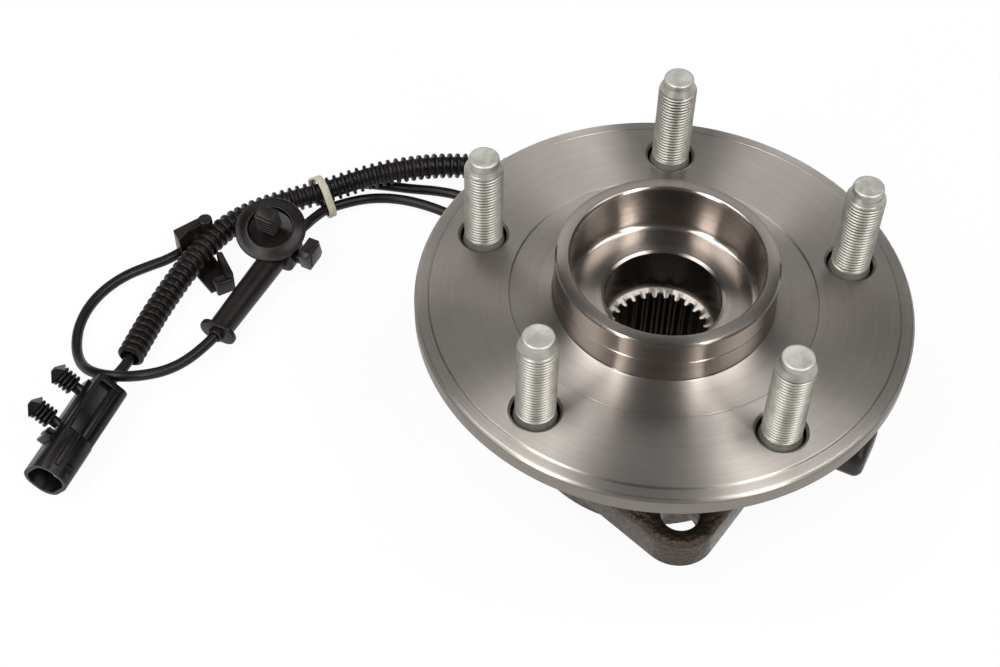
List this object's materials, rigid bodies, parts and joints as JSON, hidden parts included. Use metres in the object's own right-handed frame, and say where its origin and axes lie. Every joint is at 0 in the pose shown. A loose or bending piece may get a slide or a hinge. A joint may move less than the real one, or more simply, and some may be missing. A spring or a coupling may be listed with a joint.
{
  "type": "wheel hub bearing unit",
  "caption": "Driven wheel hub with a double-row ball bearing, studs for the wheel, a splined bore, an eared outer ring for the knuckle, and a speed-sensor lead with clips and connector.",
  "frame": {"origin": "centre of the wheel mounting face, on the bearing's axis", "axes": "+Z outboard along the bearing's axis, towards the wheel; +Y and +X across it, with the outer ring's ears at -90, 30 and 150 degrees from +X"},
  "size_m": [0.2953, 0.2085, 0.1041],
  "materials": {
    "hub_steel": "fine-turned faces with an oiled, faintly warm tone",
    "ring_steel": "ground",
    "stud_plating": "pale zinc plating, satin",
    "tone_steel": "machined teeth",
    "ball_steel": "polished",
    "cage_polymer": "satin brown nylon",
    "outer_iron": "dark oiled forging with machined faces",
    "seal_case_steel": "pressed sheet",
    "seal_rubber": "satin",
    "slinger_steel": "pressed sheet",
    "sensor_plastic": "moulded, fine grain",
    "screw_steel": "zinc plating",
    "lead_rubber": "satin extruded jacket",
    "conduit_plastic": "satin moulded ribs",
    "clip_plastic": "satin moulded",
    "tie_plastic": "natural nylon, satin",
    "connector_plastic": "satin moulded",
    "pin_brass": "tinned"
  },
  "bodies": {
    "knuckle_side": {"outer_ring": "outer_iron", "outboard_seal_case": "seal_case_steel", "outboard_seal_lip": "seal_rubber", "inboard_seal_case": "seal_case_steel", "inboard_seal_lip": "seal_rubber", "sensor_body": "sensor_plastic", "sensor_oring": "seal_rubber", "sensor_screw": "screw_steel", "sensor_lead": "lead_rubber", "loop_lead": "lead_rubber", "conduit": "conduit_plastic", "tail_lead": "lead_rubber", "lead_sleeve": "lead_rubber", "clip_saddle": "clip_plastic", "clip_disc": "clip_plastic", "routing_clip": "clip_plastic", "cable_tie": "tie_plastic", "connector_housing": "connector_plastic", "connector_clips": "connector_plastic", "connector_seal": "seal_rubber", "connector_pins": "pin_brass"},
    "hub": {"wheel_hub": "hub_steel", "inner_ring": "ring_steel", "wheel_studs": "stud_plating", "tone_ring": "tone_steel", "outboard_slinger": "slinger_steel", "inboard_slinger": "slinger_steel"},
    "outboard_ball_set": {"outboard_balls": "ball_steel", "outboard_cage": "cage_polymer"},
    "inboard_ball_set": {"inboard_balls": "ball_steel", "inboard_cage": "cage_polymer"}
  },
  "joints": [
    {"name": "hub_spin", "type": "hinge", "parent": "knuckle_side", "child": "hub", "pos_m": [0, 0, -0.0395], "axis": [0, 0, 1], "continuous": true},
    {"name": "outboard_ball_travel", "type": "hinge", "parent": "knuckle_side", "child": "outboard_ball_set", "pos_m": [0, 0, -0.026], "axis": [0, 0, 1], "continuous": true},
    {"name": "inboard_ball_travel", "type": "hinge", "parent": "knuckle_side", "child": "inboard_ball_set", "pos_m": [0, 0, -0.053], "axis": [0, 0, 1], "continuous": true}
  ],
  "couplings": [
    {"joint": "outboard_ball_travel", "follows": "hub_spin", "ratio": 0.433},
    {"joint": "inboard_ball_travel", "follows": "hub_spin", "ratio": 0.433}
  ]
}
